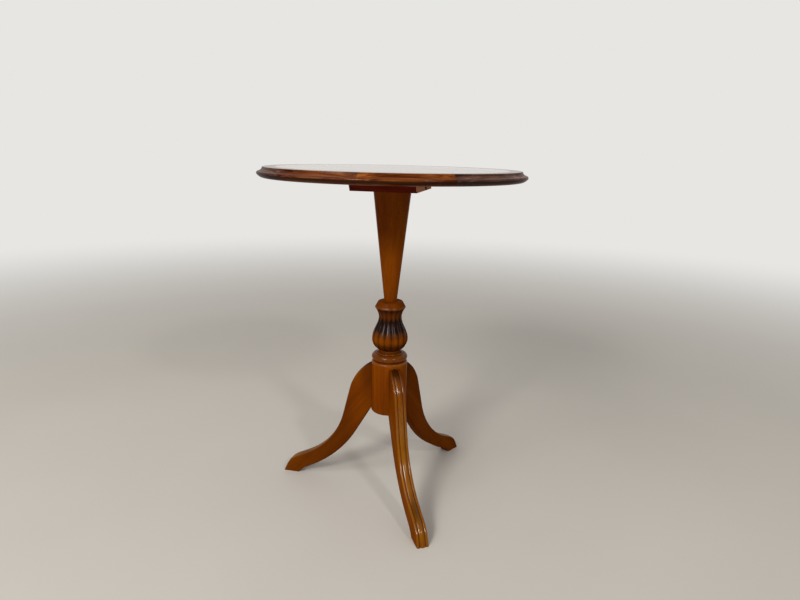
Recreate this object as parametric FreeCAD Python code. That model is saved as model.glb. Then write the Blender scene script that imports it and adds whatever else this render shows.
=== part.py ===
import FreeCAD, Part
import math
import os

# Round pedestal side table: a veneered top with a moulded edge, a tapered shaft, a reeded vase
# and a drum that carries three reeded sabre legs. Millimetres, +Z up, origin on the floor under
# the column. One leg points along -X and the other two lie 60 degrees either side of +X.

# Overall size
table_height = 588.5
top_diameter = 450.0

# Room for glue
glue_gap = 0.1               # around tongues, spigots and dowels, and behind the leg shoulders
socket_end_room = 1.0        # beyond the end of a tongue, spigot or dowel

# Top board and its veneers
board_thickness = 16.0
veneer_thickness = 0.6

# Moulded edge of solid wood, in equal segments tongued into the board
edge_width = 30.0
edge_segment_count = 10
edge_joint_direction = -53.5
tongue_length = 6.0
tongue_thickness = 5.0
arris_inset = 9.5            # from the nose in to the top arris
cove_sag = 1.0               # hollow of the slope between arris and nose
nose_drop = 10.0             # from the top face down to the widest point
nose_radius = 3.0
nose_upper_turn = 68.0       # the nose rounds from this slope above to the next one below
nose_lower_turn = -40.0
under_inset = 10.0           # from the nose in to the flat underside
under_swell = 1.0

# Bearer under the top: two boards edge to edge, both ends sawn at the same slant
bearer_thickness = 18.5
bearer_length = 111.0        # along X
bearer_width = 135.0         # along Y
bearer_end_slant = 3.0       # the upper face is shifted this far towards -X
bearer_joint_offset = 6.5    # the joint lies behind the column axis

# Countersunk screws up through the bearer into the board
screw_length = 29.0
screw_radius = 2.2
screw_head_radius = 4.4
screw_head_sunk = 0.6
screw_head_land = 0.4
screw_slot_width = 1.1
screw_slot_depth = 1.2
screw_slot_turns = (20.0, 75.0, 130.0, 160.0)
screw_point_length = 4.4
screw_spread_x = 76.0
screw_spread_y = 96.0

# Shaft, widest at the bearer
shaft_top_radius = 32.8
shaft_foot_radius = 11.2
tenon_radius = 14.0
shaft_spigot_radius = 7.0
shaft_spigot_length = 22.0

# Wedge driven into the top of the tenon
wedge_length = 13.0
wedge_thickness = 2.4
wedge_tip = 0.8

# Vase, heights measured up from its seat on the drum
vase_spigot_radius = 9.0
vase_spigot_length = 20.0
vase_foot_radius = 16.0
vase_bulb_radius = 32.3
vase_bulb_height = 21.0
vase_neck_radius = 20.5
vase_neck_height = 60.5
vase_rim_radius = 27.4
vase_rim_height = 78.5
rim_cove_power = 1.8         # how late the neck curves out to the rim
rim_quirk = 0.1              # the rim stands out past the ends of the reeds
rim_swell = 0.4              # roundness of the rim's lower side
rim_slope_inset = 5.0        # the slope above the rim draws in this far
rim_slope_height = 8.6
rim_crown_round = 2.0
reed_count = 15
reed_turn = 1.3              # direction of one groove, in degrees
reed_depth = 1.7             # at the bulb, less where the vase is thinner
reed_foot_height = 1.5
reed_top_drop = 2.6          # ends of the reeds below the rim
reed_fade_length = 5.0
reed_end_depth = 0.12        # share of the depth left at the ends
sections_per_sweep = 5       # of the bulb, the neck and the cove

# Drum and the ring moulding turned on its top
drum_bottom = 150.0
drum_radius = 32.4
drum_body_height = 98.0
drum_foot_round = 4.0
drum_top_round = 2.6
groove_height = 2.0
groove_depth = 2.8
ring_radius = 32.3
ring_round = 6.5
collar_inset = 2.0           # from the crown of the ring in to the collar
collar_height = 1.6
seat_inset = 3.4             # hollow between the collar and the seat of the vase
seat_land = 2.2

# Legs: corners of the side outline as distance out, height and rounding; the upper heights are
# measured from the drum's lower end
leg_thickness = 20.5
leg_root_out = 12.0
shoulder_rise = 100.5
knee_out = 64.3
knee_rise = 75.6
knee_radius = 80.0
ankle_out = 102.0
ankle_height = 71.3
ankle_radius = 140.0
toe_reach = 208.0
toe_setback = 12.0
toe_height = 26.6
toe_radius = 42.0
sole_length = 31.0
heel_setback = 10.5
heel_height = 10.0
heel_radius = 8.0
arch_out = 91.6
arch_height = 49.5
arch_radius = 215.0
root_rise = 37.0
lower_arris_round = 1.6
edge_tolerance = 0.01        # for finding the edges to round

# Upper face of each leg: a broad middle reed with a narrow bead either side
bead_groove_offset = 5.0     # from the middle of the leg to each groove
bead_groove_depth = 2.0
bead_drop = 0.5              # crown of the beads below that of the middle reed
bead_fall = 2.8              # at the side of the leg
cutter_margin = 5.0          # the reed cutter reaches this far past the leg

# Dowels between legs and drum, two to a leg, heights measured from the drum's lower end
dowel_radius = 4.0
dowel_depth = 18.0           # into the leg, and the same into the drum
lower_dowel_rise = 22.0
upper_dowel_rise = 62.0

# Directions of the legs, in degrees from +X
left_leg_direction = 180.0
front_leg_direction = -60.0
right_leg_direction = 60.0

# Levels and radii that follow from the sizes above
top_radius = top_diameter / 2
top_thickness = board_thickness + 2 * veneer_thickness
top_underside = table_height - top_thickness
board_bottom = top_underside + veneer_thickness
board_radius = top_radius - edge_width
bearer_bottom = top_underside - bearer_thickness
drum_body_top = drum_bottom + drum_body_height
groove_radius = ring_radius - groove_depth
ring_bottom = drum_body_top + groove_height
ring_centre_radius = ring_radius - ring_round
ring_middle = ring_bottom + math.sqrt(ring_round ** 2 - (groove_radius - ring_centre_radius) ** 2)
ring_top = ring_middle + ring_round
collar_radius = ring_centre_radius - collar_inset
collar_top = ring_top + collar_height
seat_radius = collar_radius - seat_inset
drum_seat = collar_top + seat_inset + seat_land
reed_top_height = vase_rim_height - reed_top_drop
vase_top = drum_seat + vase_rim_height + rim_slope_height + rim_crown_round
leg_directions = {
    "leg_left": left_leg_direction,
    "leg_front": front_leg_direction,
    "leg_right": right_leg_direction}
upright = FreeCAD.Vector(0, 0, 1)


def point(out, height, side=0.0):
    return FreeCAD.Vector(out, side, height)


def outline(start, *steps):
    """Face in the XZ plane: a step is a point for a line, or a middle and an end point for an arc."""
    edges = []
    here = start
    for step in steps:
        if isinstance(step[0], tuple):
            through, there = step
            edges.append(Part.Arc(point(*here), point(*through), point(*there)).toShape())
        else:
            there = step
            edges.append(Part.makeLine(point(*here), point(*there)))
        here = there
    edges.append(Part.makeLine(point(*here), point(*start)))
    return Part.Face(Part.Wire(edges))


def turned(face, angle=360.0):
    return face.revolve(FreeCAD.Vector(), upright, angle)


def quarter(centre, radius, first, last):
    """Middle and end point of an arc about a centre, between two directions in degrees."""
    points = []
    for angle in ((first + last) / 2, last):
        turn = math.radians(angle)
        points.append((centre[0] + radius * math.cos(turn), centre[1] + radius * math.sin(turn)))
    return tuple(points)


def bowed(start, end, sag):
    """Middle and end point of a shallow arc that bows by its sag to the right of its way."""
    slope = math.atan2(end[1] - start[1], end[0] - start[0])
    middle_out = (start[0] + end[0]) / 2 + sag * math.sin(slope)
    middle_height = (start[1] + end[1]) / 2 - sag * math.cos(slope)
    return (middle_out, middle_height), end


def upright_hole(radius, bottom, top):
    return Part.makeCylinder(radius, top - bottom, FreeCAD.Vector(0, 0, bottom))


def save(shape, node):
    shape.exportStep("parts/" + node + ".step")


# Top: grooved board, a veneer on each face, and the moulded edge in segments
screw_places = [(x * screw_spread_x / 2, y * screw_spread_y / 2) for x in (-1, 1) for y in (-1, 1)]


def screw_body(room):
    """One countersunk screw on the axis, its head under the bearer, larger by the room given."""
    head_level = bearer_bottom + screw_head_sunk
    land_level = head_level + screw_head_land
    neck_level = land_level + screw_head_radius - screw_radius
    tip_level = head_level + screw_length
    return turned(outline(
        (0, head_level),
        (screw_head_radius + room, head_level),
        (screw_head_radius + room, land_level),
        (screw_radius + room, neck_level),
        (screw_radius + room, tip_level - screw_point_length),
        (0, tip_level + room)))


def at_screw_places(shape):
    return [shape.translated(FreeCAD.Vector(x, y, 0)) for x, y in screw_places]


tongue_middle = board_bottom + board_thickness / 2
groove_half = tongue_thickness / 2 + glue_gap
groove_floor = board_radius - tongue_length - socket_end_room
groove_cutter = turned(outline(
    (groove_floor, tongue_middle - groove_half),
    (top_radius, tongue_middle - groove_half),
    (top_radius, tongue_middle + groove_half),
    (groove_floor, tongue_middle + groove_half)))
screw_sinks = at_screw_places(upright_hole(
    screw_head_radius + glue_gap, bearer_bottom, bearer_bottom + screw_head_sunk))
screw_holes = at_screw_places(screw_body(glue_gap)) + screw_sinks
top_board = upright_hole(board_radius, board_bottom, board_bottom + board_thickness)
top_board = top_board.cut([groove_cutter] + screw_holes)
back_veneer = upright_hole(board_radius, top_underside, board_bottom).cut(screw_holes)
face_veneer = upright_hole(board_radius, table_height - veneer_thickness, table_height)

nose_centre = (top_radius - nose_radius, table_height - nose_drop)
nose_start = quarter(nose_centre, nose_radius, nose_lower_turn, nose_lower_turn)[1]
nose_end = quarter(nose_centre, nose_radius, nose_upper_turn, nose_upper_turn)[1]
under_end = (top_radius - under_inset, top_underside)
top_arris = (top_radius - arris_inset, table_height)
edge_inner = board_radius + glue_gap
edge_face = outline(
    (edge_inner, top_underside),
    under_end,
    bowed(under_end, nose_start, under_swell),
    quarter(nose_centre, nose_radius, nose_lower_turn, nose_upper_turn),
    bowed(nose_end, top_arris, -cove_sag),
    (edge_inner, table_height),
    (edge_inner, tongue_middle + tongue_thickness / 2),
    (board_radius - tongue_length, tongue_middle + tongue_thickness / 2),
    (board_radius - tongue_length, tongue_middle - tongue_thickness / 2),
    (edge_inner, tongue_middle - tongue_thickness / 2))
segment_angle = 360.0 / edge_segment_count
edge_segments = []
for number in range(edge_segment_count):
    segment = turned(edge_face, segment_angle)
    segment.rotate(FreeCAD.Vector(), upright, edge_joint_direction + number * segment_angle)
    edge_segments.append(segment)


# Bearer: one block with slanted ends, parted along its joint, bored for the tenon and the screws
bearer_side = Part.makePolygon([
    FreeCAD.Vector(-bearer_length / 2, -bearer_width / 2, bearer_bottom),
    FreeCAD.Vector(bearer_length / 2, -bearer_width / 2, bearer_bottom),
    FreeCAD.Vector(bearer_length / 2 - bearer_end_slant, -bearer_width / 2, top_underside),
    FreeCAD.Vector(-bearer_length / 2 - bearer_end_slant, -bearer_width / 2, top_underside),
    FreeCAD.Vector(-bearer_length / 2, -bearer_width / 2, bearer_bottom)])
bearer_block = Part.Face(bearer_side).extrude(FreeCAD.Vector(0, bearer_width, 0))
tenon_hole = upright_hole(tenon_radius + glue_gap, bearer_bottom, top_underside)
bearer_block = bearer_block.cut([tenon_hole] + screw_holes)
front_half = Part.makeBox(2 * bearer_length, 2 * bearer_width, 2 * bearer_thickness, FreeCAD.Vector(
    -bearer_length, bearer_joint_offset - 2 * bearer_width, bearer_bottom - bearer_thickness / 2))
bearer_board_front = bearer_block.common(front_half)
bearer_board_rear = bearer_block.cut(front_half)

slot_level = bearer_bottom + screw_head_sunk
slot = Part.makeBox(4 * screw_head_radius, screw_slot_width, 2 * screw_slot_depth, FreeCAD.Vector(
    -2 * screw_head_radius, -screw_slot_width / 2, slot_level - screw_slot_depth))
screws = []
for (x, y), angle in zip(screw_places, screw_slot_turns):
    screw = screw_body(0.0).cut(slot).rotated(FreeCAD.Vector(), upright, angle)
    screws.append(screw.translated(FreeCAD.Vector(x, y, 0)))


# Shaft: tenon at the top with a kerf for the wedge, spigot at the foot
def wedge_outline(room):
    """Wedge in the XZ plane, flush with the top of the tenon."""
    tip_level = top_underside - wedge_length - (socket_end_room if room else 0.0)
    return outline(
        (-wedge_tip / 2 - room, tip_level),
        (wedge_tip / 2 + room, tip_level),
        (wedge_thickness / 2 + room, top_underside),
        (-wedge_thickness / 2 - room, top_underside))


def wedge_body(room):
    body = wedge_outline(room).extrude(FreeCAD.Vector(0, 4 * tenon_radius, 0))
    body = body.translated(FreeCAD.Vector(0, -2 * tenon_radius, 0))
    return body.common(upright_hole(tenon_radius, bearer_bottom, top_underside))


tenon_wedge = wedge_body(0.0)
column_shaft = turned(outline(
    (0, vase_top - shaft_spigot_length),
    (shaft_spigot_radius, vase_top - shaft_spigot_length),
    (shaft_spigot_radius, vase_top),
    (shaft_foot_radius, vase_top),
    (shaft_top_radius, bearer_bottom),
    (tenon_radius, bearer_bottom),
    (tenon_radius, top_underside),
    (0, top_underside)))
column_shaft = column_shaft.cut(wedge_body(glue_gap))


# Vase: a lobed loft for the reeded body, with a turned rim above and a spigot below
def vase_radius(height):
    """Crest of the reeds: a round bulb, a swept neck and a cove out to the rim."""
    if height <= vase_bulb_height:
        fall = (vase_bulb_height - height) / vase_bulb_height
        return vase_foot_radius + (vase_bulb_radius - vase_foot_radius) * math.sqrt(1 - fall ** 2)
    if height <= vase_neck_height:
        rise = (height - vase_bulb_height) / (vase_neck_height - vase_bulb_height)
        return vase_neck_radius + (vase_bulb_radius - vase_neck_radius) * (1 + math.cos(math.pi * rise)) / 2
    rise = (height - vase_neck_height) / (vase_rim_height - vase_neck_height)
    return vase_neck_radius + (vase_rim_radius - vase_neck_radius) * rise ** rim_cove_power


def reeded_section(height, depth):
    step = 360.0 / reed_count
    crest = vase_radius(height)
    level = drum_seat + height
    edges = []
    for number in range(reed_count):
        points = []
        for part, radius in ((0.0, crest - depth), (0.5, crest), (1.0, crest - depth)):
            turn = math.radians(reed_turn + (number + part) * step)
            points.append(FreeCAD.Vector(radius * math.cos(turn), radius * math.sin(turn), level))
        edges.append(Part.Arc(*points).toShape())
    return Part.Wire(edges)


def reed_depth_at(height):
    """Grooves deepen with the girth and run out towards each end."""
    from_end = min(height - reed_foot_height, reed_top_height - height)
    share = reed_end_depth + (1 - reed_end_depth) * min(1.0, from_end / reed_fade_length)
    return share * reed_depth * vase_radius(height) / vase_bulb_radius


def evenly(first, last, count):
    """Values from the first to the last in equal steps, both included."""
    return [first + (last - first) * step / count for step in range(count + 1)]


foot_angle = math.acos(1 - reed_foot_height / vase_bulb_height)
bulb_angles = evenly(foot_angle, math.pi / 2, sections_per_sweep)
section_heights = [vase_bulb_height * (1 - math.cos(angle)) for angle in bulb_angles]
section_heights += evenly(vase_bulb_height, vase_neck_height, sections_per_sweep)[1:]
section_heights += evenly(vase_neck_height, reed_top_height, sections_per_sweep)[1:]
reeded_body = Part.makeLoft([reeded_section(h, reed_depth_at(h)) for h in section_heights], True, False)

rim_level = drum_seat + vase_rim_height
reed_top_level = drum_seat + reed_top_height
under_rim_radius = vase_radius(reed_top_height) + rim_quirk
under_rim_middle = ((under_rim_radius + vase_rim_radius) / 2 + rim_swell, (reed_top_level + rim_level) / 2)
slope_end = (vase_rim_radius - rim_slope_inset, rim_level + rim_slope_height)
vase_rim = turned(outline(
    (0, reed_top_level),
    (under_rim_radius, reed_top_level),
    (under_rim_middle, (vase_rim_radius, rim_level)),
    slope_end,
    quarter((slope_end[0] - rim_crown_round, slope_end[1]), rim_crown_round, 0, 90),
    (0, vase_top)))
vase_foot = turned(outline(
    (0, drum_seat - vase_spigot_length),
    (vase_spigot_radius, drum_seat - vase_spigot_length),
    (vase_spigot_radius, drum_seat),
    (vase_foot_radius, drum_seat),
    (vase_foot_radius, drum_seat + reed_foot_height),
    (0, drum_seat + reed_foot_height)))
shaft_socket = upright_hole(shaft_spigot_radius + glue_gap,
                            vase_top - shaft_spigot_length - socket_end_room, vase_top)
reeded_vase = reeded_body.fuse([vase_rim, vase_foot]).cut(shaft_socket).removeSplitter()


# Drum: plain below, ring moulding and collar above, bored for the vase and for the dowels
def leg_dowel(height, room):
    """Dowel along +X across the joint of a leg, larger by the room given."""
    end_room = socket_end_room if room else 0.0
    return Part.makeCylinder(dowel_radius + room, 2 * (dowel_depth + end_room),
                             FreeCAD.Vector(drum_radius - dowel_depth - end_room, 0, height),
                             FreeCAD.Vector(1, 0, 0))


def all_round(shapes):
    return [shape.rotated(FreeCAD.Vector(), upright, angle)
            for angle in leg_directions.values() for shape in shapes]


dowel_heights = (drum_bottom + lower_dowel_rise, drum_bottom + upper_dowel_rise)
dowel_holes = [leg_dowel(height, glue_gap) for height in dowel_heights]
ring_end = math.degrees(math.asin((ring_bottom - ring_middle) / ring_round))
base_drum = turned(outline(
    (0, drum_bottom),
    (drum_radius - drum_foot_round, drum_bottom),
    quarter((drum_radius - drum_foot_round, drum_bottom + drum_foot_round), drum_foot_round, -90, 0),
    (drum_radius, drum_body_top - drum_top_round),
    quarter((drum_radius - drum_top_round, drum_body_top - drum_top_round), drum_top_round, 0, 90),
    (groove_radius, drum_body_top),
    (groove_radius, ring_bottom),
    quarter((ring_centre_radius, ring_middle), ring_round, ring_end, 90),
    (collar_radius, ring_top),
    (collar_radius, collar_top),
    quarter((collar_radius, collar_top + seat_inset), seat_inset, 270, 180),
    (seat_radius, drum_seat),
    (0, drum_seat)))
vase_socket = upright_hole(vase_spigot_radius + glue_gap,
                           drum_seat - vase_spigot_length - socket_end_room, drum_seat)
base_drum = base_drum.cut([vase_socket] + all_round(dowel_holes))
leg_dowels = all_round([leg_dowel(height, 0.0) for height in dowel_heights])


# Legs: one sawn outline with a reeded upper face, hollowed to the drum and bored for its dowels
def rounded_corner(before, corner, after, radius):
    """Start, middle and end of the arc that rounds a corner of a side outline."""
    corner = point(*corner)
    back = (point(*before) - corner).normalize()
    onward = (point(*after) - corner).normalize()
    half = back.getAngle(onward) / 2
    inwards = (back + onward).normalize()
    centre = corner + inwards * (radius / math.sin(half))
    reach = radius / math.tan(half)
    return corner + back * reach, centre - inwards * radius, corner + onward * reach


shoulder = (leg_root_out, drum_bottom + shoulder_rise)
knee = (knee_out, drum_bottom + knee_rise)
ankle = (ankle_out, ankle_height)
toe = (toe_reach - toe_setback, toe_height)
tip = (toe_reach, 0.0)
heel = (toe_reach - sole_length, 0.0)
heel_top = (heel[0] - heel_setback, heel_height)
arch = (arch_out, arch_height)
root = (leg_root_out, drum_bottom + root_rise)
knee_arc = rounded_corner(shoulder, knee, ankle, knee_radius)
ankle_arc = rounded_corner(knee, ankle, toe, ankle_radius)
toe_arc = rounded_corner(ankle, toe, tip, toe_radius)
heel_arc = rounded_corner(heel, heel_top, arch, heel_radius)
arch_arc = rounded_corner(heel_top, arch, root, arch_radius)


def joined(start, arcs, end):
    """Edges from a start to an end point through rounded corners."""
    edges = []
    here = start
    for arc in arcs:
        edges.append(Part.makeLine(here, arc[0]))
        edges.append(Part.Arc(arc[0], arc[1], arc[2]).toShape())
        here = arc[2]
    edges.append(Part.makeLine(here, end))
    return edges


upper_edges = joined(point(*shoulder), [knee_arc, ankle_arc, toe_arc], point(*tip))
lower_edges = joined(point(*heel), [heel_arc, arch_arc], point(*root))
sole_edge = Part.makeLine(point(*tip), point(*heel))
root_edge = Part.makeLine(point(*root), point(*shoulder))
side_face = Part.Face(Part.Wire(upper_edges + [sole_edge] + lower_edges + [root_edge]))
leg_blank = side_face.extrude(FreeCAD.Vector(0, leg_thickness, 0))
leg_blank = leg_blank.translated(FreeCAD.Vector(0, -leg_thickness / 2, 0))


def on_lower_arris(edge):
    """Whether an edge runs along a side of the leg above one of its lower edges, past the heel."""
    middle = edge.valueAt((edge.FirstParameter + edge.LastParameter) / 2)
    if abs(abs(middle.y) - leg_thickness / 2) > edge_tolerance:
        return False
    flat = Part.Vertex(middle.x, 0, middle.z)
    return any(flat.distToShape(lower)[0] < edge_tolerance for lower in lower_edges[1:])


leg_blank = leg_blank.makeFillet(lower_arris_round, [e for e in leg_blank.Edges if on_lower_arris(e)])

path_start = point(*shoulder)
path_way = (knee_arc[0] - path_start).normalize()
below_floor = point(*tip) + (point(*tip) - toe_arc[2]).normalize() * cutter_margin
reed_path = Part.Wire(joined(path_start, [knee_arc, ankle_arc, toe_arc], below_floor))
lift = FreeCAD.Vector(0, 1, 0).cross(path_way) * -1
half_leg = leg_thickness / 2
bead_middle = (bead_groove_offset + half_leg) / 2


def section_point(side, rise):
    """Point of the cutter's section at the start of its path."""
    return path_start + FreeCAD.Vector(0, side, 0) + lift * rise


def section_arc(*places):
    return Part.Arc(*[section_point(side, rise) for side, rise in places]).toShape()


left_groove = (-bead_groove_offset, -bead_groove_depth)
right_groove = (bead_groove_offset, -bead_groove_depth)
left_side = (-half_leg, -bead_fall)
right_side = (half_leg, -bead_fall)
cutter_side = half_leg + cutter_margin
cutter_corners = [right_side, (cutter_side, -bead_fall), (cutter_side, cutter_margin),
                  (-cutter_side, cutter_margin), (-cutter_side, -bead_fall), left_side]
cutter_section = Part.Wire(
    [section_arc(left_side, (-bead_middle, -bead_drop), left_groove),
     section_arc(left_groove, (0, 0), right_groove),
     section_arc(right_groove, (bead_middle, -bead_drop), right_side)]
    + [Part.makeLine(section_point(*first), section_point(*second))
       for first, second in zip(cutter_corners, cutter_corners[1:])])
reed_cutter = reed_path.makePipeShell([cutter_section], True, False)

shoulder_cutter = upright_hole(drum_radius + glue_gap, 0.0, table_height)
leg = leg_blank.cut([shoulder_cutter, reed_cutter] + dowel_holes)

# One file for each piece, named as the node it makes
os.makedirs("parts", exist_ok=True)
save(top_board, "top_board")
save(face_veneer, "face_veneer")
save(back_veneer, "back_veneer")
for number, segment in enumerate(edge_segments):
    save(segment, f"edge_segment_{number + 1:02d}")
save(bearer_board_front, "bearer_board_front")
save(bearer_board_rear, "bearer_board_rear")
save(Part.makeCompound(screws), "bearer_screws")
save(column_shaft, "column_shaft")
save(tenon_wedge, "tenon_wedge")
save(reeded_vase, "reeded_vase")
save(base_drum, "base_drum")
save(Part.makeCompound(leg_dowels), "leg_dowels")
for node, angle in leg_directions.items():
    save(leg.rotated(FreeCAD.Vector(), upright, angle), node)
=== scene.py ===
import bmesh
import bpy
import math
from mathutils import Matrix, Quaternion, Vector


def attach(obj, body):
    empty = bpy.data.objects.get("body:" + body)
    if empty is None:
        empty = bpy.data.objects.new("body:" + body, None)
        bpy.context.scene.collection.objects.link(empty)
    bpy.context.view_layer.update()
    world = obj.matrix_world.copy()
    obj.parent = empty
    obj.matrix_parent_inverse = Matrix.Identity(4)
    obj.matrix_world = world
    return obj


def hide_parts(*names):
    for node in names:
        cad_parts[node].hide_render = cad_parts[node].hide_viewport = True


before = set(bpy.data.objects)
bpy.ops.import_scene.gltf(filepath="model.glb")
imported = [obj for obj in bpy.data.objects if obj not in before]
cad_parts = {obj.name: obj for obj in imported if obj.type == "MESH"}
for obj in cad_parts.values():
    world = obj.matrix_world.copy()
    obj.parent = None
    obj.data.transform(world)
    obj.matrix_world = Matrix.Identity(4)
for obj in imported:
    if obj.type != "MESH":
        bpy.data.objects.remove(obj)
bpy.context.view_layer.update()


# Drum: the lowest turning of the column, a cylinder of stained hardwood with a ring moulding and
# a collar on top. Its side takes the three dowelled legs, and a bore in its top takes the vase.
mm = 0.001
drum_radius = 32.4
drum_foot = 150.0
drum_shoulder = 248.0
ring_place = (25.8, 255.34)
ring_round = 6.5
groove_radius = 29.5
groove_top = 250.0
collar_radius = 23.8
collar_top = 263.44
seat_hollow = 3.4
drum_seat = 269.04
vase_bore = (9.1, 248.04)
honey_tones = ((0.100, 0.0165, 0.0002), (0.168, 0.0355, 0.0003), (0.243, 0.0635, 0.0010))
rubbed_tone = (0.310, 0.140, 0.0050, 1.0)
# The stain tone colours the dark stain, and also the painted shade that the stain attribute carries.
stain_and_shade_tone = (0.0085, 0.0021, 0.0010, 1.0)


def arc_points(centre, radius, first, last, steps=6, finish=()):
    """Points of a rounding in a turning's outline, between two directions in degrees."""
    turns = [math.radians(first + (last - first) * step / steps) for step in range(steps + 1)]
    return [(centre[0] + radius * math.cos(turn), centre[1] + radius * math.sin(turn), *finish)
            for turn in turns]


def spun(line, steps, sweep=math.tau):
    """Turns an outline about the column's axis, as on a lathe. Its points hold a radius, a height, how
    dark the stain and painted shade are there and how far it is rubbed away. A part of a turn is
    capped at both ends."""
    shape = bmesh.new()
    stain = shape.verts.layers.float.new("stain")
    rubbed = shape.verts.layers.float.new("rubbed")
    full = sweep == math.tau
    corners = []
    for radius, height, *finish in line:
        corner = shape.verts.new((radius * mm, 0, height * mm))
        corner[stain], corner[rubbed] = (*finish, 0.0, 0.0)[:2]
        corners.append(corner)
    for first, second in zip(corners, corners[1:] if full else corners[1:] + corners[:1]):
        shape.edges.new((first, second))
    bmesh.ops.spin(shape, geom=shape.verts[:] + shape.edges[:], cent=(0, 0, 0), axis=(0, 0, 1),
                   angle=sweep, steps=steps, use_merge=full)
    bmesh.ops.remove_doubles(shape, verts=shape.verts, dist=1e-6)
    bmesh.ops.holes_fill(shape, edges=[edge for edge in shape.edges if edge.is_boundary], sides=0)
    bmesh.ops.recalc_face_normals(shape, faces=shape.faces)
    return shape


def fitted(shape, name, material, nodes, crease=38):
    """Makes the finished piece of a shape, smooth but for its arrises, in place of its CAD nodes."""
    mesh = bpy.data.meshes.new(name)
    shape.to_mesh(mesh)
    shape.free()
    mesh.shade_smooth()
    mesh.set_sharp_from_angle(angle=math.radians(crease))
    mesh.materials.append(material)
    piece = bpy.data.objects.new(name, mesh)
    bpy.context.scene.collection.objects.link(piece)
    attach(piece, "root")
    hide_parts(*nodes)


class Shade:
    """One output in a material's node tree. Arithmetic on shades adds Math nodes."""

    def __init__(self, tree, output=None):
        self.tree = tree
        self.output = output

    def add(self, kind, settings=None, inputs=None, output=0):
        """A new node of a kind, with its settings made first, and the output that is wanted of it."""
        node = self.tree.nodes.new("ShaderNode" + kind)
        for key, value in (settings or {}).items():
            if key == "stops":
                stops = node.color_ramp.elements
                stops[0].position = value[0][0]
                stops[-1].position = value[-1][0]
                for place, tone in value[1:-1]:
                    stops.new(place)
                for stop, (place, tone) in zip(stops, value):
                    stop.color = (*tone[:3], 1.0)
            else:
                setattr(node, key, value)
        for key, value in (inputs or {}).items():
            if isinstance(value, Shade):
                self.tree.links.new(value.output, node.inputs[key])
            else:
                node.inputs[key].default_value = value
        return Shade(self.tree, node.outputs[output] if node.outputs else None)

    def math(self, operation, *values):
        return self.add("Math", {"operation": operation}, dict(enumerate(values)))

    def __add__(self, other):
        return self.math("ADD", self, other)

    def __radd__(self, other):
        return self.math("ADD", other, self)

    def __sub__(self, other):
        return self.math("SUBTRACT", self, other)

    def __mul__(self, other):
        return self.math("MULTIPLY", self, other)

    def __rmul__(self, other):
        return self.math("MULTIPLY", other, self)

    def __pow__(self, other):
        return self.math("POWER", self, other)

    def step(self, low, high):
        """A soft step from 0 to 1 as this shade rises from the low to the high value."""
        return self.add("MapRange", {"interpolation_type": "SMOOTHSTEP"},
                        {"Value": self, 1: low, 2: high})

    def blend(self, low, high):
        """The low colour where this shade is 0 and the high colour where it is 1."""
        return self.add("Mix", {"data_type": "RGBA"}, {0: self, 6: low, 7: high}, output=2)


def blank_material(name):
    material = bpy.data.materials.new(name)
    material.use_nodes = True
    material.node_tree.nodes.clear()
    return material, Shade(material.node_tree)


def streaks(shade, place, across, along, detail=3.0, offset=0.0):
    """Noise drawn out along the grain: so many changes a metre across it, and along it."""
    stretched = shade.add("Mapping", {}, {"Vector": place, "Scale": (across, across, along),
                                          "Location": (offset, offset, offset)})
    return shade.add("TexNoise", {}, {"Vector": stretched, "Scale": 1.0, "Detail": detail,
                                      "Roughness": 0.55})


def ramp(shade, places, tones, factor):
    """A colour that runs through tones at given places as a factor rises."""
    return shade.add("ValToRGB", {"stops": list(zip(places, tones))}, {0: factor})


def facing(shade, axis):
    """How far the surface looks along an axis of the table."""
    normal = shade.add("NewGeometry", output="Normal")
    return shade.add("SeparateXYZ", {}, {"Vector": normal}, output=axis)


def lacquered_wood(name, tones, grain=(0, 0, 1), seed=0.0, figure=0.6, streak=0.7, gloss=0.30,
                   coat=0.0, crest_coat=0.0, top_coat=0.0, side_coat=0.0, coat_gloss=0.20):
    """Stained hardwood under satin lacquer: streaks, pores and patchy stain along the grain. Dark
    stain and painted shade lie where the mesh says so, and rubbed crests are paler and glossier.
    Level faces, and sides that turn away, can have more lacquer than the rest."""
    material, shade = blank_material(name)
    turn = Vector(grain).rotation_difference(Vector((0, 0, 1))).to_euler()
    place = shade.add("Mapping", {}, {"Vector": shade.add("TexCoord", output="Object"),
                                      "Rotation": turn,
                                      "Location": (seed * 0.37, seed * 0.53, seed * 0.71)})
    broad = streaks(shade, place, 38, 2.2)
    fine = streaks(shade, place, 260, 7, offset=3.0)
    pores = streaks(shade, place, 900, 34, detail=1.0, offset=7.0).step(0.60, 0.72)
    patches = streaks(shade, place, 13, 8, detail=2.0, offset=11.0)
    tone = 0.5 + figure * (broad * 1.1 + (fine - 0.5) * streak + patches * 0.8 - 0.95)
    colour = ramp(shade, (0.22, 0.50, 0.78), tones, tone)
    colour = (pores * 0.30).blend(colour, stain_and_shade_tone)
    rubbed = shade.add("Attribute", {"attribute_name": "rubbed"}, output="Fac")
    colour = (rubbed * (fine * 0.36 + patches.step(0.35, 0.65) * 0.20)).blend(colour, rubbed_tone)
    stain = shade.add("Attribute", {"attribute_name": "stain"}, output="Fac")
    colour = (stain * (0.52 + fine * 0.6 + patches * 0.5)).blend(colour, stain_and_shade_tone)
    lacquer = coat + rubbed * crest_coat
    if top_coat:
        lacquer = lacquer + facing(shade, "Z").step(0.9, 0.98) * top_coat
    if side_coat:
        turned_away = shade.add("LayerWeight", {}, {"Blend": 0.5}, output="Facing")
        lacquer = lacquer + turned_away.step(0.62, 0.95) * side_coat
    surface = shade.add("Bump", {}, {"Strength": 0.10, "Distance": 0.0004,
                                     "Height": fine * 0.6 - pores * 0.8 + broad * 0.4})
    shade.add("OutputMaterial", {}, {"Surface": shade.add("BsdfPrincipled", {}, {
        "Base Color": colour, "Roughness": gloss + (patches - 0.5) * 0.16 + pores * 0.14,
        "Normal": surface, "Specular IOR Level": 0.0, "Coat Weight": lacquer,
        "Coat Roughness": coat_gloss})})
    return material


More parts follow.
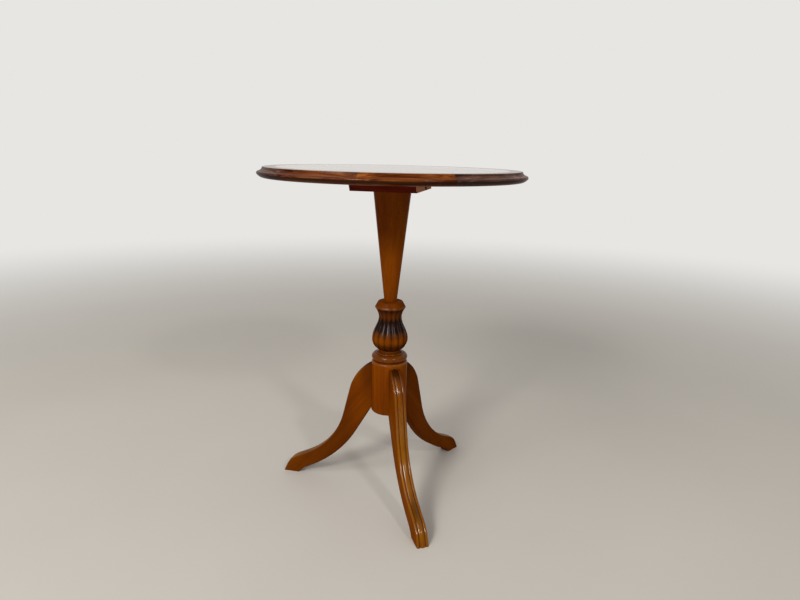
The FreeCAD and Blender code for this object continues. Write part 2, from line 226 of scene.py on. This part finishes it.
drum_line = [(0, vase_bore[1]), vase_bore, (vase_bore[0], drum_seat)]
drum_line += [(collar_radius - seat_hollow, drum_seat)]
drum_line += arc_points((collar_radius, collar_top + seat_hollow), seat_hollow, 180, 260, finish=[0.55])
drum_line += arc_points((collar_radius - 0.5, collar_top - 0.5), 0.5, 90, 0, 3, finish=(0.20, 0.6))
# The crease under the collar's edge and the groove under the ring are darkened as painted shade.
drum_line += [(collar_radius, collar_top - 1.2, 0.7), (collar_radius + 0.2, collar_top - 1.6, 0.7)]
drum_line += arc_points(ring_place, ring_round, 85, -40, 16, finish=(0.34, 0.22))
drum_line += [(groove_radius + 0.5, groove_top + 0.4, 0.4), (groove_radius, groove_top, 0.6)]
drum_line += [(groove_radius, drum_shoulder, 0.45)]
drum_line += arc_points((drum_radius - 2.6, drum_shoulder - 2.6), 2.6, 80, 0, finish=(0.0, 0.3))
drum_line += [(drum_radius, drum_shoulder - 5.0)]
drum_line += arc_points((drum_radius - 4.0, drum_foot + 4.0), 4.0, 0, -90)
drum_line += [(0, drum_foot)]
column_wood = lacquered_wood("column_wood", honey_tones, figure=0.5, coat=0.05, crest_coat=1.5,
                             side_coat=0.6)
fitted(spun(drum_line, 128), "drum", column_wood, ["base_drum"])


# Dowels: two plain beech pegs to a leg, glued into the leg and the drum and hidden by both. The
# wedge that spreads the column's tenon is split from the same pale wood.
peg_tones = ((0.36, 0.22, 0.11), (0.47, 0.31, 0.17), (0.58, 0.41, 0.25))
peg_wood = lacquered_wood("peg_wood", peg_tones, gloss=0.6)
for node in ("leg_dowels", "tenon_wedge"):
    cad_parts[node].data.materials.clear()
    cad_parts[node].data.materials.append(peg_wood)


# Legs: three sabre legs sawn from one pattern in stained hardwood. A broad reed between two beads
# runs along the upper face of each, and its hollowed shoulder is dowelled to the drum.
leg_pattern = {
    "upper": [(12.0, 250.5, 0), (64.3, 225.6, 80), (102.0, 71.3, 140), (196.0, 26.6, 42),
              (208.0, 0.0, 0)],
    "lower": [(12.0, 187.0, 0), (91.6, 49.5, 215), (166.5, 10.0, 8), (177.0, 0.0, 0)]}
# Direction, tone factor and side shade of each leg. The right leg's darker tone is partly painted
# shade.
leg_places = {"leg_left": (180.0, 0.82, 0.33), "leg_front": (-60.0, 0.85, 0.0),
              "leg_right": (60.0, 0.73, 0.05)}
leg_stations = 96
half_leg = 10.25
shoulder_radius = 32.5
arris_round = 1.6
reed_groove = (5.0, -2.0)
bead_crown = (7.625, -0.5)
bead_foot = (half_leg, -2.8)
groove_stain = 0.28
groove_reach = 1.4
# The head of the upper face, by the drum, is darkened as painted shade; stain lies in the grooves.
head_shade_level = 0.78
bead_head_shade_level = 0.40
head_shade_length = 9
grime_stain = 0.45
grime_station = 77
grime_length = 11
crest_rub = 0.85


def arc_through(start, middle, end, steps):
    """Points of the round that runs over a crown from a start to an end, left to right."""
    a, b, c = Vector(start), Vector(middle), Vector(end)
    double_area = 2 * (a.x * (b.y - c.y) + b.x * (c.y - a.y) + c.x * (a.y - b.y))
    centre = (a.length_squared * Vector((b.y - c.y, c.x - b.x))
              + b.length_squared * Vector((c.y - a.y, a.x - c.x))
              + c.length_squared * Vector((a.y - b.y, b.x - a.x))) / double_area
    first, last = [math.degrees(math.atan2(*(spot - centre).yx)) for spot in (a, c)]
    return arc_points(centre, (b - centre).length, first, last, steps)


def soft_step(share):
    share = min(1.0, max(0.0, share))
    return share * share * (3 - 2 * share)


left_groove = (-reed_groove[0], reed_groove[1])
leg_face = arc_through(left_groove, (0, 0), reed_groove, 12)[6:-1]
leg_face += arc_through(reed_groove, bead_crown, bead_foot, 10)
leg_under = arc_points((half_leg - arris_round, arris_round), arris_round, 0, -90, 4) + [(0.0, 0.0)]


def pattern_line(corners):
    """Points along a pattern's edge with its corners rounded, from the drum's side outwards."""
    line = [Vector(corners[0][:2])]
    for before, (out, height, radius), after in zip(corners, corners[1:], corners[2:]):
        corner = Vector((out, height))
        back = (Vector(before[:2]) - corner).normalized()
        onward = (Vector(after[:2]) - corner).normalized()
        half = back.angle(onward) / 2
        centre = corner + (back + onward).normalized() * radius / math.sin(half)
        first = corner + back * radius / math.tan(half) - centre
        sweep = first.angle_signed(corner + onward * radius / math.tan(half) - centre)
        for step in range(25):
            turn = -sweep * step / 24
            line.append(centre + Vector((first.x * math.cos(turn) - first.y * math.sin(turn),
                                         first.x * math.sin(turn) + first.y * math.cos(turn))))
    line.append(Vector(corners[-1][:2]))
    return line


def evenly_spaced(line, count):
    """Places and outward directions at equal steps along a line, from the drum's side to its end."""
    crossing = next(number for number, place in enumerate(line) if place.x > shoulder_radius)
    share = (shoulder_radius - line[crossing - 1].x) / (line[crossing].x - line[crossing - 1].x)
    line = [line[crossing - 1].lerp(line[crossing], share)] + line[crossing:]
    lengths = [0.0]
    for first, second in zip(line, line[1:]):
        lengths.append(lengths[-1] + (second - first).length)
    places = []
    piece = 0
    for number in range(count + 1):
        here = lengths[-1] * number / count
        while piece < len(line) - 2 and lengths[piece + 1] < here:
            piece += 1
        way = line[piece + 1] - line[piece]
        places.append((line[piece] + way.normalized() * (here - lengths[piece]), way.normalized()))
    return places


leg_upper = evenly_spaced(pattern_line(leg_pattern["upper"]), leg_stations)
leg_lower = evenly_spaced(pattern_line(leg_pattern["lower"]), leg_stations)
leg_section = [(-side, rise, True) for side, rise in leg_face[:0:-1]]
leg_section += [(side, rise, True) for side, rise in leg_face]
leg_section += [(side, rise, False) for side, rise in leg_under]
leg_section += [(-side, rise, False) for side, rise in leg_under[-2::-1]]


def leg_shape(side_shade_depth):
    """A strip rolled round the pattern's edges along +X, closed at the shoulder and the sole. Painted
    shade on its sides and outer beads deepens down the leg and eases a little towards the toe, and
    painted shade darkens the head of its upper face by the drum."""
    shape = bmesh.new()
    around = len(leg_section)
    stain = shape.verts.layers.float.new("stain")
    rubbed = shape.verts.layers.float.new("rubbed")
    bmesh.ops.create_grid(shape, x_segments=around, y_segments=leg_stations, size=0.5)
    for vert in shape.verts:
        side, rise, above = leg_section[round((vert.co.x + 0.5) * around) % around]
        station = round((vert.co.y + 0.5) * leg_stations)
        place, way = (leg_upper if above else leg_lower)[station]
        normal = Vector((-way.y, way.x))
        spot = place + normal * rise
        if station == 0:
            spot += way * (math.sqrt(shoulder_radius ** 2 - side ** 2) - spot.x) / way.x
        if station == leg_stations:
            spot.y = 0.0
        vert.co = (spot.x * mm, side * mm, spot.y * mm)
        # Painted shade on the sides deepens down the leg and eases a little towards the toe.
        vert[stain] = side_shade_depth * (soft_step((station - 12) / 32) - 0.3 * soft_step((station - 60) / 25))
        if above and abs(side) < half_leg:
            groove = soft_step(1 - abs(abs(side) - reed_groove[0]) / groove_reach)
            # Painted shade darkens the head of the upper face by the drum.
            head_shade = head_shade_level if abs(side) < reed_groove[0] + 0.6 else bead_head_shade_level
            head_shade *= soft_step(1.3 - station / head_shade_length)
            grime = grime_stain if abs(side) < reed_groove[0] else 0.0
            grime *= soft_step(1 - abs(station - grime_station) / grime_length)
            outer_bead_shade = vert[stain] * soft_step((abs(side) - bead_crown[0] + 1.0) / 2.0)
            vert[stain] = max(groove_stain * groove, head_shade, grime, outer_bead_shade)
            vert[rubbed] = (crest_rub - outer_bead_shade) * soft_step(station / 14) * (1 - groove)
            vert[rubbed] *= soft_step((half_leg - abs(side)) / 1.2)
    bmesh.ops.remove_doubles(shape, verts=shape.verts, dist=1e-6)
    bmesh.ops.holes_fill(shape, edges=[edge for edge in shape.edges if edge.is_boundary], sides=0)
    bmesh.ops.recalc_face_normals(shape, faces=shape.faces)
    return shape


for number, (node, (direction, depth, side_shade_depth)) in enumerate(leg_places.items()):
    shape = leg_shape(side_shade_depth)
    turn = Quaternion((0, 0, 1), math.radians(direction))
    bmesh.ops.rotate(shape, verts=shape.verts, cent=(0, 0, 0), matrix=turn.to_matrix())
    # The tone factor varies each stick a little, and darkens the right leg further as painted shade.
    tones = [[depth * value for value in tone] for tone in honey_tones]
    wood = lacquered_wood(node + "_wood", tones, grain=turn @ Vector((0.62, 0, -0.78)),
                          seed=number + 1.0, figure=0.45, coat=0.04, crest_coat=0.7, coat_gloss=0.15)
    fitted(shape, node + "_sabre", wood, [node], crease=32)


# Vase: a turned and carved bulb of the same wood, with fifteen reeds from its foot to its neck and
# a plain rim above. Dark stain is left in the grooves and over the shoulder of the bulb. The foot of
# the bulb is darkened as painted shade, and the nicks under the rim as painted shadow.
reed_count = 15
reed_turn = 1.3
reed_steps = 16
reed_depth = 1.9
bulb = (32.3, 21.0)
neck = (20.5, 60.5)
rim = (27.4, 78.5)
vase_foot = 16.0
reeds_from = 1.5
reeds_to = 75.9
reed_fade = 5.0
nick_shade_height = 2.6
vase_spigot = (9.0, 249.04)
shaft_bore = (7.1, 335.14)
vase_top = 358.14
# Stain by height; the dark foot of the bulb, up to 9 mm, is painted shade under the bulb.
stain_and_shade_levels = ((0, 0.62), (9, 0.62), (20, 0.06), (24, 0.06), (32, 0.50), (41, 0.93), (53, 0.93),
                (60, 0.57), (64, 0.47), (reeds_to, 0.74), (77, 0.28), (90, 0.28))
band_middle = 45.0
band_creep = 4.0
groove_darkening = 0.42
polish_heights = (24.0, 52.0)
polish_fade = 8.0
bulb_polish = 0.30
neck_polish = 0.08


def crest_radius(height):
    """Radius over the reeds, at a height above the drum."""
    if height <= bulb[1]:
        return vase_foot + (bulb[0] - vase_foot) * math.sqrt(1 - (1 - height / bulb[1]) ** 2)
    if height <= neck[1]:
        rise = (height - bulb[1]) / (neck[1] - bulb[1])
        return neck[0] + (bulb[0] - neck[0]) * (1 + math.cos(math.pi * rise)) / 2
    return neck[0] + (rim[0] - neck[0]) * ((height - neck[1]) / (rim[1] - neck[1])) ** 1.8


reed_rows = [reeds_from + (reeds_to - reeds_from) * (step / 72) ** 1.25 for step in range(73)]
vase_line = [(0, vase_spigot[1]), vase_spigot, (vase_spigot[0], drum_seat), (vase_foot, drum_seat)]
vase_line += [(crest_radius(height), drum_seat + height) for height in reed_rows]
vase_line += [(26.5, drum_seat + 76.9), (27.1, drum_seat + 77.8)]
rim_edge = arc_points((rim[0] - 0.5, drum_seat + rim[1]), 0.5, -20, 30, 3)
rim_top = arc_points((20.4, vase_top - 2.0), 2.0, 30, 90, 4)
rim_face = [Vector(rim_edge[-1]).lerp(Vector(rim_top[0]), share / 6) for share in range(1, 6)]
vase_line += rim_edge + [tuple(point) for point in rim_face] + rim_top
vase_line += [(shaft_bore[0], vase_top), shaft_bore, (0, shaft_bore[1])]


def stain_and_shade_at(height, hollow):
    """Stain by height above the drum, with painted shade at the foot of the bulb. It is darker in the
    grooves, and reaches further along them.
    """
    if bulb[1] < height < neck[1]:
        height += band_creep * hollow * (1 if height < band_middle else -1)
    for (low, low_stain), (high, high_stain) in zip(stain_and_shade_levels, stain_and_shade_levels[1:]):
        if height <= high:
            level = low_stain + (high_stain - low_stain) * soft_step((height - low) / (high - low))
            return level + (1 - level) * groove_darkening * hollow
    return 0.0


vase = spun(vase_line, reed_count * reed_steps)
stain = vase.verts.layers.float["stain"]
rubbed = vase.verts.layers.float["rubbed"]
for vert in vase.verts:
    height = vert.co.z / mm - drum_seat
    across = (math.degrees(math.atan2(vert.co.y, vert.co.x)) * reed_count / 360) % 1.0
    hollow = (2 * across - 1) ** 2
    if vert.co.xy.length < (vase_foot - 1.0) * mm:
        continue
    ends = min(1.0, max(0.0, min(height - reeds_from, reeds_to - height) / reed_fade))
    if ends > 0:
        depth = reed_depth * crest_radius(height) / bulb[0] * hollow * ends
        vert.co.xy *= 1 - depth * mm / vert.co.xy.length
    # Dark nicks under the rim, between the ends of the reeds, are painted shadow.
    nick_shade = 1.4 * hollow ** 2 * soft_step((rim[1] + nick_shade_height - height) / nick_shade_height)
    vert[stain] = stain_and_shade_at(height, hollow if ends > 0 else nick_shade)
    begun, over = [soft_step((height - start) / polish_fade) for start in polish_heights]
    vert[rubbed] = (1 - hollow) * ends * (bulb_polish * begun - (bulb_polish - neck_polish) * over)
    if ends == 0 and height > reeds_to:
        vert[rubbed] = bulb_polish * soft_step(1.4 - abs(height - rim[1] - 0.6) / 1.5)
bmesh.ops.rotate(vase, verts=vase.verts, cent=(0, 0, 0),
                 matrix=Quaternion((0, 0, 1), math.radians(reed_turn)).to_matrix())
vase_wood = lacquered_wood("vase_wood", honey_tones, seed=5.0, figure=0.5, coat=0.04, crest_coat=1.1,
                           coat_gloss=0.32)
fitted(vase, "vase", vase_wood, ["reeded_vase"], crease=55)


# Shaft: a plain tapered turning of the same wood, widest under the top. A spigot at its foot is
# glued into the vase, and a wedged tenon at its head goes through the bearer.
shaft_foot = 11.2
shaft_head = 32.8
shaft_spigot = (7.0, 336.14)
bearer_foot = 552.8
tenon = (14.0, 571.3)
shaft_rows = 24
shaft_line = [(0, shaft_spigot[1]), shaft_spigot, (shaft_spigot[0], vase_top)]
shaft_line += [(shaft_foot + (shaft_head - shaft_foot) * row / shaft_rows,
                vase_top + (bearer_foot - vase_top) * row / shaft_rows)
               for row in range(shaft_rows + 1)]
shaft_line += [(tenon[0], bearer_foot), tenon, (0, tenon[1])]
fitted(spun(shaft_line, 128), "shaft", column_wood, ["column_shaft"])


# Bearer: two boards of dark stained hardwood set edge to edge under the top, both ends sawn at one
# slant. The shaft's tenon is glued into them, and four slotted steel screws hold them up.
bearer_tones = ((0.042, 0.0033, 0.0007), (0.115, 0.0092, 0.0014), (0.205, 0.0245, 0.0040))
bearer_joint = 6.5
joint_band_end = (18.0, 27.0)
# Pale sawn end grain, made lighter still as painted light where the ends lie in the top's shade.
end_tones_and_painted_light = {"bearer_board_front": ((0.480, 0.195, 0.090, 1.0), (0.800, 0.370, 0.200, 1.0)),
             "bearer_board_rear": ((0.340, 0.125, 0.034, 1.0), (0.700, 0.290, 0.090, 1.0))}
steel_tones = ((0.10, 0.095, 0.088), (0.23, 0.22, 0.205), (0.34, 0.33, 0.31))


def bearer_wood(node, ends):
    """Dark stain on the long grain, and pale sawn end grain made lighter still as painted light, with
    a dark band across the end grain beside the joint.
    """
    material, shade = blank_material(node + "_wood")
    place = shade.add("TexCoord", output="Object")
    turned = shade.add("Mapping", {}, {"Vector": place, "Rotation": (0, math.pi / 2, 0)})
    broad = streaks(shade, turned, 70, 5)
    fine = streaks(shade, turned, 420, 16, offset=4.0)
    figure = broad * 0.75 + fine * 0.35 - 0.05
    colour = ramp(shade, (0.30, 0.52, 0.76), bearer_tones, figure)
    rings = shade.add("TexWave", {"wave_type": "RINGS", "rings_direction": "X"}, {
        "Vector": shade.add("Mapping", {}, {"Vector": place, "Location": (0, 0.02, -0.50)}),
        "Scale": 130.0, "Distortion": 3.0, "Detail": 3.0, "Detail Scale": 2.0}, output="Fac")
    grit = shade.add("TexNoise", {}, {"Vector": place, "Scale": 700.0, "Detail": 2.0})
    # The end grain's pale tones are partly painted light.
    sawn = (rings * 0.55 + grit * 0.45).blend(*ends)
    across = shade.add("SeparateXYZ", {}, {"Vector": place}, output="Y")
    # A dark band runs across the end grain beside the joint between the boards.
    joint_band = across.step((bearer_joint - 1.0) * mm, bearer_joint * mm)
    joint_band = joint_band - across.step(joint_band_end[0] * mm, joint_band_end[1] * mm)
    sawn = (joint_band * 0.9).blend(sawn, stain_and_shade_tone)
    endways = facing(shade, "X")
    end = endways.math("ABSOLUTE", endways).step(0.75, 0.95)
    colour = end.blend(colour, sawn)
    surface = shade.add("Bump", {}, {"Strength": 0.3, "Distance": 0.0005, "Height": fine + grit * 0.5})
    shade.add("OutputMaterial", {}, {"Surface": shade.add("BsdfPrincipled", {}, {
        "Base Color": colour, "Roughness": 0.42 + end * 0.35 + (broad - 0.5) * 0.2, "Normal": surface,
        "Specular IOR Level": 0.05})})
    return material


for node, ends in end_tones_and_painted_light.items():
    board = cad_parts[node]
    board.data.materials.clear()
    board.data.materials.append(bearer_wood(node, ends))
    weld = board.modifiers.new("weld", "WELD")
    weld.merge_threshold = 0.00001
    soften = board.modifiers.new("soften", "BEVEL")
    soften.width = 0.0006
    soften.segments = 2
    soften.limit_method = "ANGLE"
    soften.angle_limit = math.radians(50)

screw_steel, shade = blank_material("screw_steel")
place = shade.add("TexCoord", output="Object")
tarnish = shade.add("TexNoise", {}, {"Vector": place, "Scale": 420.0, "Detail": 4.0})
shade.add("OutputMaterial", {}, {"Surface": shade.add("BsdfPrincipled", {}, {
    "Base Color": ramp(shade, (0.35, 0.5, 0.66), steel_tones, tarnish),
    "Roughness": 0.34 + tarnish * 0.3, "Metallic": 1.0,
    "Normal": shade.add("Bump", {}, {"Strength": 0.2, "Distance": 0.0002, "Height": tarnish})})})
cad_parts["bearer_screws"].data.materials.clear()
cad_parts["bearer_screws"].data.materials.append(screw_steel)


# Top: a board of pressed chips between two sheets of veneer. The upper sheet is figured brown wood
# under a hard polish, and the lower one is a plain sheet with a thin coat of stain.
chip_tones = ((0.22, 0.13, 0.065), (0.36, 0.23, 0.12), (0.52, 0.37, 0.22))
face_tones = ((0.058, 0.0135, 0.0022), (0.128, 0.035, 0.0060), (0.205, 0.068, 0.0130))
back_tones = ((0.060, 0.024, 0.009), (0.105, 0.044, 0.017), (0.160, 0.074, 0.032))

chip_board, shade = blank_material("chip_board")
place = shade.add("TexCoord", output="Object")
chips = shade.add("TexVoronoi", {}, {"Vector": place, "Scale": 320.0}, output="Color")
chip = shade.add("SeparateXYZ", {}, {"Vector": chips}, output="X")
dust = shade.add("TexNoise", {}, {"Vector": place, "Scale": 900.0, "Detail": 2.0})
shade.add("OutputMaterial", {}, {"Surface": shade.add("BsdfPrincipled", {}, {
    "Base Color": ramp(shade, (0.1, 0.5, 0.9), chip_tones, chip * 0.7 + dust * 0.3),
    "Roughness": 0.8 + dust * 0.1,
    "Normal": shade.add("Bump", {}, {"Strength": 0.4, "Distance": 0.0005, "Height": chip + dust})})})


def figured_veneer():
    """Crown-cut veneer under a hard polish: arched growth rings, pores and a soft change of tone."""
    material, shade = blank_material("face_veneer_polish")
    place = shade.add("Mapping", {}, {"Vector": shade.add("TexCoord", output="Object"),
                                      "Rotation": (0, math.pi / 2, 0), "Location": (0, 0.03, 0)})
    across = shade.add("SeparateXYZ", {}, {"Vector": place}, output="Y")
    along = shade.add("SeparateXYZ", {}, {"Vector": place}, output="Z")
    wander = streaks(shade, place, 8, 2.0, detail=2.0)
    fine = streaks(shade, place, 320, 4, offset=3.0)
    bands = streaks(shade, place, 70, 1.2, offset=5.0)
    mottle = streaks(shade, place, 26, 38, detail=2.0, offset=13.0)
    pores = streaks(shade, place, 1100, 30, detail=1.0, offset=7.0).step(0.58, 0.70)
    arches = (across * across * 520.0 + along * 8.0 + wander * 4.0) * math.tau
    ring = arches.math("SINE", arches) * 0.5 + 0.5
    growth = ring ** 2.0 * 0.24 + fine * 0.45 + bands * 0.40 + mottle * 0.25 + wander * 0.20 - 0.32
    colour = ramp(shade, (0.15, 0.45, 0.85), face_tones[::-1], growth)
    colour = (pores * 0.45).blend(colour, stain_and_shade_tone)
    surface = shade.add("Bump", {}, {"Strength": 0.08, "Distance": 0.0003, "Height": fine - pores})
    shade.add("OutputMaterial", {}, {"Surface": shade.add("BsdfPrincipled", {}, {
        "Base Color": colour, "Roughness": 0.15 + wander * 0.12 + pores * 0.08, "Normal": surface,
        "Specular IOR Level": 0.4, "Coat Weight": 0.8, "Coat Roughness": 0.05})})
    return material


stained_back = lacquered_wood("back_veneer_stain", back_tones, grain=(0.94, 0.34, 0), seed=9.0,
                              figure=0.5, gloss=0.55)
sheets = {"top_board": chip_board, "face_veneer": figured_veneer(), "back_veneer": stained_back}
for node, material in sheets.items():
    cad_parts[node].data.materials.clear()
    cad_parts[node].data.materials.append(material)


# Edge: ten segments of solid wood tongued round the board and shaped together on a spindle. Each
# is cut from another stick, so its tone and grain change at every joint.
segment_count = 10
first_joint = -53.5
segment_steps = 18
# The third value darkens the edge; under the nose and along the under-curve it is painted shade.
edge_line = [(195.1, 571.3, 0.0), (215.0, 571.3, 0.1), (217.3, 571.75, 0.15), (219.75, 572.79, 0.25),
             (222.1, 574.43, 0.7)]
edge_line += arc_points((222.0, 578.5), 3.0, -40, -10, 3, finish=[0.76])
edge_line += arc_points((222.0, 578.5), 3.0, 4, 68, 7, finish=[0.28])
edge_line += [(221.0, 582.0), (219.0, 583.02), (217.0, 584.6), (215.98, 586.3, 0.22)]
edge_line += arc_points((214.9, 587.9), 0.6, 20, 90, 3, finish=[0.18])
edge_line += [(213.0, 588.5, 0.0), (195.1, 588.5, 0.0), (195.1, 582.4, 0.0), (189.0, 582.4, 0.0),
              (189.0, 577.4, 0.0), (195.1, 577.4, 0.0)]
# The grey tones are the wood's darker tone with a painted sheen of pale reflection.
edge_tones = {"gold": ((0.060, 0.0112, 0.0012), (0.185, 0.0450, 0.0050), (0.335, 0.1120, 0.0180)),
              "red": ((0.039, 0.0068, 0.0014), (0.124, 0.0285, 0.0060), (0.236, 0.0790, 0.0240)),
              "grey_and_sheen": ((0.028, 0.0100, 0.0054), (0.094, 0.0395, 0.0248), (0.190, 0.0990, 0.0670))}
segment_tones = ("grey_and_sheen", "red", "gold", "red", "grey_and_sheen", "gold", "red", "grey_and_sheen", "red", "gold")

for number in range(segment_count):
    name = f"edge_segment_{number + 1:02d}"
    segment = spun(edge_line, segment_steps, math.tau / segment_count)
    direction = math.radians(first_joint + number * 360 / segment_count)
    bmesh.ops.rotate(segment, verts=segment.verts, cent=(0, 0, 0),
                     matrix=Quaternion((0, 0, 1), direction).to_matrix())
    middle = direction + math.pi / segment_count
    wood = lacquered_wood(name + "_wood", edge_tones[segment_tones[number]],
                          grain=(-math.sin(middle), math.cos(middle), 0.0), seed=number * 1.7,
                          figure=0.85, streak=1.3, gloss=0.24, coat=0.18, top_coat=0.75, side_coat=0.15)
    fitted(segment, name + "_moulding", wood, [name], crease=40)


# Stage: a plain pale floor that fades into a white surround, a broad soft light from each side, a
# pair of ceiling lamps, and the camera a little above the height of the table's top.
pale = (0.80, 0.79, 0.765, 1.0)
floor_shape = bmesh.new()
bmesh.ops.create_circle(floor_shape, cap_ends=True, segments=64, radius=12.0)
floor_mesh = bpy.data.meshes.new("floor")
floor_shape.to_mesh(floor_mesh)
floor_shape.free()
floor = bpy.data.objects.new("floor", floor_mesh)
bpy.context.scene.collection.objects.link(floor)
floor_paint, shade = blank_material("floor_paint")
place = shade.add("TexCoord", output="Object")
mottle = shade.add("TexNoise", {}, {"Vector": place, "Scale": 3.0, "Detail": 4.0})
away = shade.add("VectorMath", {"operation": "LENGTH"}, {0: place}, output="Value").step(0.9, 3.5)
rays = shade.add("LightPath", output="Is Camera Ray") + shade.add("LightPath", output="Is Glossy Ray")
rays = rays + shade.add("LightPath", output="Is Transmission Ray")
paint = shade.add("BsdfPrincipled", {}, {
    "Base Color": mottle.blend((0.52, 0.48, 0.425, 1.0), (0.57, 0.53, 0.47, 1.0)),
    "Roughness": 0.55 + mottle * 0.1})
glow = shade.add("Emission", {}, {"Color": pale, "Strength": 1.0})
shade.add("OutputMaterial", {}, {"Surface": shade.add("MixShader", {}, {
    0: away * rays.math("MINIMUM", rays, 1.0), 1: paint, 2: glow})})
floor_mesh.materials.append(floor_paint)

surround = bpy.data.worlds.new("surround")
surround.use_nodes = True
surround.node_tree.nodes.clear()
shade = Shade(surround.node_tree)
seen = shade.add("LightPath", output="Is Camera Ray")
seen = seen + shade.add("LightPath", output="Is Transmission Ray")
mirrored = shade.add("LightPath", output="Is Glossy Ray")
outlook = shade.add("TexCoord", output="Generated")
behind = shade.add("SeparateXYZ", {}, {"Vector": outlook}, output="Y").step(-0.2, 0.85)
room = behind.blend((0.07, 0.068, 0.065, 1.0), pale)
soft = (0.41, 0.405, 0.40, 1.0)
shade.add("OutputWorld", {}, {"Surface": shade.add("Background", {}, {
    "Color": seen.blend(mirrored.blend(soft, room), pale), "Strength": 1.0})})
bpy.context.scene.world = surround

lamps = {"window": ((-1.2, -1.5, 2.1), 1.1, 17.0),
         "fill": ((1.6, -1.3, 1.4), 1.2, 0.6),
         "ceiling_left": ((-0.86, -2.87, 2.18), 0.75, 66.0),
         "ceiling_right": ((2.06, -2.18, 2.35), 0.30, 25.0)}
aim = Vector((0.0, 0.0, 0.35))
for name, (place, size, power) in lamps.items():
    lamp = bpy.data.lights.new(name, "AREA")
    lamp.size = size
    lamp.energy = power
    holder = bpy.data.objects.new(name, lamp)
    holder.location = place
    holder.rotation_euler = (aim - holder.location).to_track_quat("-Z", "Y").to_euler()
    bpy.context.scene.collection.objects.link(holder)

camera = bpy.data.objects.new("camera", bpy.data.cameras.new("camera"))
camera.data.sensor_width = 36.0
camera.data.lens = 27.045
camera.location = (0.2388, -1.0088, 0.6197)
pitch = math.radians(-14.077)
gaze = Vector((-0.2145 * math.cos(pitch), 0.9767 * math.cos(pitch), math.sin(pitch)))
roll = Quaternion((0, 0, 1), math.radians(1.258))
camera.rotation_euler = (gaze.to_track_quat("-Z", "Y") @ roll).to_euler()
bpy.context.scene.collection.objects.link(camera)
bpy.context.scene.camera = camera
bpy.context.scene.view_settings.view_transform = "Standard"
